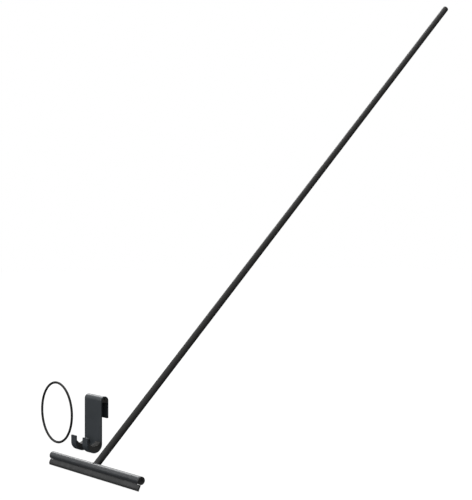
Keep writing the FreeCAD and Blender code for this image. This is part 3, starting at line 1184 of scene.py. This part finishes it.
@dataclass
class Hook(SubAssembly):
    """Bent strap and its pads; y is 0 on the band's front face and z at the lowest point."""

    width: float = 57.5
    height: float = 102.0
    strap: float = 2.5
    gap: float = 11.0
    flap: float = 40.8
    depth: float = 29.0
    tip: float = 28.6
    prong: float = 17.0
    root: float = -4.5
    root_corner: float = 5.0
    root_steps: int = 10
    strap_corner: float = 1.5
    edge_round: float = 0.4
    pad_round: float = 0.2
    saddle_round: float = 0.25
    pad_inset: float = 0.3
    clearance: float = 2.0
    pad_drop: float = 11.8
    bore_drop: float = 5.0
    bore: float = 2.0
    trough_floor: float = 12.4
    horn: float = 19.0
    glue: float = 0.02

    def build(self) -> None:
        """Build the strap and its three pads."""
        coat = PowderCoat("hook_coat", (0.0255, 0.03, 0.0343), 0.42, 0.45, grain=(1.0, 0.4, 0.06))
        rubber = Rubber("pad_rubber", (0.016, 0.0155, 0.0148), 0.6, 0.35, lines=(0.1, 1.5, 1.5))
        soft = rubber.material(self.place)
        finish = coat.material(self.place)
        self.add(self.plate(), "hook_plate", "hook", "hook_coat", finish, "hook_strap")
        self.add(self.crown_pad(), "hook_crown_pad", "hook", "pad_rubber", soft, "crown_pad")
        for side in Side:
            name = "hook_saddle_" + side.word
            self.add(self.saddle(side), name, "hook", "pad_rubber", soft, "saddle_" + side.word)

    @property
    def curl(self) -> float:
        """Outer radius of the curl."""
        return (self.depth + self.strap) / 2

    @property
    def curl_y(self) -> float:
        """Place of the curl's centre."""
        return self.strap - self.curl

    @property
    def crown(self) -> float:
        """Outer radius of the crown."""
        return self.gap / 2 + self.strap

    @property
    def crown_z(self) -> float:
        """Height of the crown's centre."""
        return self.height - self.crown

    def plate(self) -> Shape:
        """The strap, bent over the glass and curled into two prongs."""
        back = self.gap + 2 * self.strap
        flap_low = self.height - self.flap
        prong_back = self.strap - self.depth
        curl_at = (self.curl_y, self.curl)
        crown_at = (self.crown, self.crown_z)
        pen = Pen(-self.width / 2, (back, flap_low))
        pen.line((back, self.crown_z)).arc(crown_at, math.pi, ARC_STEPS)
        pen.line((0, self.curl)).arc(curl_at, -math.pi, CURL_STEPS)
        pen.line((prong_back, self.tip), (-self.depth, self.tip), (-self.depth, self.curl))
        pen.arc(curl_at, math.pi, CURL_STEPS)
        pen.line((self.strap, self.crown_z)).arc(crown_at, -math.pi, ARC_STEPS)
        pen.line((back - self.strap, flap_low))
        shape = pen.bar(self.width).cut(self.fork_gap())

        def at_an_end(edge: bmesh.types.BMEdge) -> bool:
            """Whether an edge is a corner of the flap's or a prong's end."""
            first, second = (vert.co for vert in edge.verts)
            across = abs(first.y - second.y) > self.strap / 2 and abs(first.x - second.x) < MERGE
            heights = (abs(first.z - self.tip) < MERGE, abs(first.z - flap_low) < MERGE)
            return across and any(heights)

        shape.soften(self.strap_corner, 5, at_an_end)
        return shape.soften(self.edge_round)

    def fork_gap(self) -> Shape:
        """The space between the prongs."""
        half = self.width / 2 - self.prong
        clear = self.clearance
        tool = block((-half, half), (-self.depth - clear, self.root), (-clear, self.tip + clear))
        edges = [
            edge for edge in tool.bm.edges
            if all(abs(vert.co.y - self.root) < MERGE for vert in edge.verts)
            and abs(edge.verts[0].co.z - edge.verts[1].co.z) > 1
        ]
        bevel(tool.bm, edges, self.root_corner, self.root_steps, "EDGES")
        return tool

    def crown_pad(self) -> Shape:
        """The hollow pad that fills the crown."""
        radius = self.gap / 2 - self.glue
        low = self.height - self.pad_drop
        length = self.width - 2 * self.pad_inset
        centre = (self.crown, self.crown_z)
        pen = Pen(-length / 2, (self.crown + radius, low))
        pen.line((self.crown + radius, self.crown_z)).arc(centre, math.pi, ARC_STEPS)
        pen.line((self.crown - radius, low))
        hole = rod((-self.width, self.width), self.bore, HOLE_STEPS)
        hole.shift(y=self.crown, z=self.height - self.bore_drop)
        return pen.bar(length).cut(hole).soften(self.pad_round, 2)

    def saddle(self, side: Side) -> Shape:
        """The crescent in one prong's curl."""
        length = self.prong - 2 * self.pad_inset
        middle = side.value * (self.width - self.prong) / 2
        outer = self.curl - self.strap - self.glue
        trough = self.curl - self.strap
        trough_z = self.trough_floor + trough
        low_rise = math.asin((self.horn - self.curl) / outer)
        high_rise = math.asin((trough_z - self.horn) / trough)
        start = (self.curl_y - outer * math.cos(low_rise), self.horn)
        pen = Pen(middle - length / 2, start)
        pen.arc((self.curl_y, self.curl), math.pi + 2 * low_rise, CURL_STEPS)
        pen.line((self.curl_y + trough * math.cos(high_rise), self.horn))
        pen.arc((self.curl_y, trough_z), 2 * high_rise - math.pi, ARC_STEPS)
        return pen.bar(length).soften(self.saddle_round, 2)


@dataclass
class HangingRing(SubAssembly):
    """Loose rubber ring that stands on its edge; y is its axis."""

    outer: float = 59.35
    section: float = 2.35
    flash: float = 0.09
    steps: int = 128
    section_steps: int = 24

    def build(self) -> None:
        """Build the ring."""
        rubber = Rubber("ring_rubber", (0.012, 0.012, 0.0118), 0.66, 0.2, bloom=(0.05, 0.05, 0.05))
        finish = rubber.material(self.place)
        self.add(self.ring(), "loose_ring", "ring", "ring_rubber", finish, "hanging_ring")

    def ring(self) -> Shape:
        """The ring, with the fine line that its mould leaves round the inside and outside."""
        shape = Shape()
        reach = self.section - self.flash
        made = bmesh.ops.create_circle(
            shape.bm, cap_ends=False, segments=self.section_steps, radius=reach,
        )
        middle = self.outer - self.section
        for point in made["verts"]:
            if abs(point.co.y) < MERGE:
                point.co.x *= self.section / reach
        bmesh.ops.translate(shape.bm, vec=(middle, 0, 0), verts=made["verts"])
        shape.spin(AXIS_Y, FULL_TURN, self.steps, merge=True)
        return shape.tidy()


# Studio


@dataclass(frozen=True)
class SoftBox:
    """A square lamp: where it hangs, the point it faces, its side and its power."""

    name: str
    spot: tuple[float, float, float]
    aim: tuple[float, float, float]
    side: float
    watts: float

    def hang(self) -> None:
        """Add the lamp, out of the camera's sight."""
        lamp = bpy.data.lights.new(self.name, "AREA")
        lamp.shape = "SQUARE"
        lamp.size = self.side
        lamp.energy = self.watts
        made = bpy.data.objects.new(self.name, lamp)
        made.location = self.spot
        facing = Vector(self.aim) - Vector(self.spot)
        made.rotation_euler = facing.to_track_quat("-Z", "Y").to_euler()
        made.visible_camera = False
        bpy.context.scene.collection.objects.link(made)


@dataclass
class Studio:
    """Plain pale floor and backdrop, soft light and the camera."""

    ground: float
    lamps: tuple[SoftBox, ...] = (
        SoftBox("overhead", (-0.5, 0.9, 2.4), (-0.1, 0.2, 0.1), 2.2, 30.0),
        SoftBox("back_left", (-1.9, 1.0, 1.7), (-0.1, 0.1, 0.1), 1.6, 40.0),
        SoftBox("front_left", (-1.3, -2.6, 1.0), (-0.1, 0.1, 0.1), 2.0, 66.0),
        SoftBox("front_right", (2.7, -1.9, 1.1), (-0.1, 0.2, 0.3), 2.0, 30.0),
    )
    floor_size: float = 30.0
    backdrop_radius: float = 20.0
    camera_spot: tuple[float, float, float] = (1.5499, -0.9588, 0.3432)
    camera_turn: float = 51.26
    lens: float = 79.34
    sensor: float = 36.0
    below: float = 0.05
    level: float = 0.26
    above: float = 0.9
    behind: float = 0.15
    floor_glow: float = 0.955

    def build(self) -> None:
        """Build the whole studio."""
        self.floor()
        self.backdrop()
        for lamp in self.lamps:
            lamp.hang()
        self.surroundings()
        self.camera()
        scene = bpy.context.scene
        scene.view_settings.view_transform = "Standard"
        scene.view_settings.look = "None"

    def floor(self) -> None:
        """A wide level floor, which throws no light back up at the object."""
        shape = Shape()
        bmesh.ops.create_grid(shape.bm, x_segments=4, y_segments=4, size=self.floor_size / 2)
        bmesh.ops.translate(shape.bm, vec=(0, 0, self.ground), verts=shape.bm.verts[:])
        floor = shape.scratch("studio_floor")
        made, graph = new_material("floor_paint")
        tone = graph.noise(graph.node("ShaderNodeTexCoord", output="Object"), 3.0, 2.0)
        graph.finish(graph.node("ShaderNodeBsdfPrincipled", None, {
            "Base Color": graph.blend(tone, (0.05, 0.05, 0.05), (0.06, 0.06, 0.06)),
            "Roughness": 0.9,
            "Specular IOR Level": 0.0,
            "Emission Color": WHITE,
            "Emission Strength": self.floor_glow,
        }))
        floor.data.materials.append(made)
        self.set_apart(floor)

    def backdrop(self) -> None:
        """An evenly lit white dome round the studio."""
        shape = Shape()
        bmesh.ops.create_icosphere(shape.bm, subdivisions=4, radius=self.backdrop_radius)
        dome = shape.scratch("studio_backdrop")
        made, graph = new_material("backdrop_light")
        sockets = {"Color": WHITE, "Strength": 1.0}
        graph.finish(graph.node("ShaderNodeEmission", None, sockets))
        dome.data.materials.append(made)
        dome.visible_shadow = False
        self.set_apart(dome)

    @staticmethod
    def set_apart(item: bpy.types.Object) -> None:
        """Keep a studio object's brightness off the object itself."""
        item.visible_diffuse = False
        item.visible_glossy = False

    def surroundings(self) -> None:
        """A room that is bright overhead and behind the object, and dim elsewhere."""
        world = bpy.data.worlds.new("room")
        world.use_nodes = True
        graph = Graph(world.node_tree)
        way = graph.node("ShaderNodeTexCoord", output="Generated")
        height = graph.axis(way, "Z")
        turn = math.radians(self.camera_turn)
        facing = graph.node("ShaderNodeVectorMath", {"operation": "DOT_PRODUCT"},
                            {0: way, 1: (-math.sin(turn), math.cos(turn), 0.0)}, "Value")
        upper = height.step(-0.04, 0.02)
        glow = height.step(0.1, 0.95) * self.above + facing.step(0.35, 0.95) * self.behind
        strength = upper * (glow + self.level - self.below) + self.below
        sockets = {"Color": WHITE, "Strength": strength}
        graph.finish(graph.node("ShaderNodeBackground", None, sockets), "ShaderNodeOutputWorld")
        bpy.context.scene.world = world

    def camera(self) -> None:
        """A level camera with a long lens."""
        lens = bpy.data.cameras.new("view")
        lens.lens = self.lens
        lens.sensor_width = self.sensor
        lens.clip_end = 100.0
        made = bpy.data.objects.new("view", lens)
        made.location = self.camera_spot
        made.rotation_euler = (math.radians(90), 0, math.radians(self.camera_turn))
        bpy.context.scene.collection.objects.link(made)
        bpy.context.scene.camera = made


def joint(name: str) -> dict:
    """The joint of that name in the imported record."""
    return next(item for item in frame["joints"] if item["name"] == name)


def middle(node: str) -> Vector:
    """The middle of a node's box."""
    low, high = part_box(node)
    return (low + high) / 2


def main() -> None:
    """Build every sub-assembly in order, then the studio."""
    logging.basicConfig(level=logging.INFO, format="%(message)s")
    bar = middle("head_bar")
    up_pole = -Vector(joint("head_advance")["axis"])
    tilt = -math.atan2(up_pole.y, up_pole.z)
    bar.x = 0.0
    hook_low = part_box("hook_strap")[0]
    hook = Vector((middle("hook_strap").x, hook_low.y + Hook.depth * MM, hook_low.z))
    Pole(Place(bar, tilt)).build()
    Neck(Place(bar, tilt)).build()
    Head(Place(bar, -BLADE_LEAN)).build()
    EndFittings(Place(bar, -BLADE_LEAN)).build()
    Hook(Place(hook)).build()
    HangingRing(Place(middle("hanging_ring"))).build()
    Studio(CAD_BOX[0].z).build()


if __name__ == "__main__":
    main()
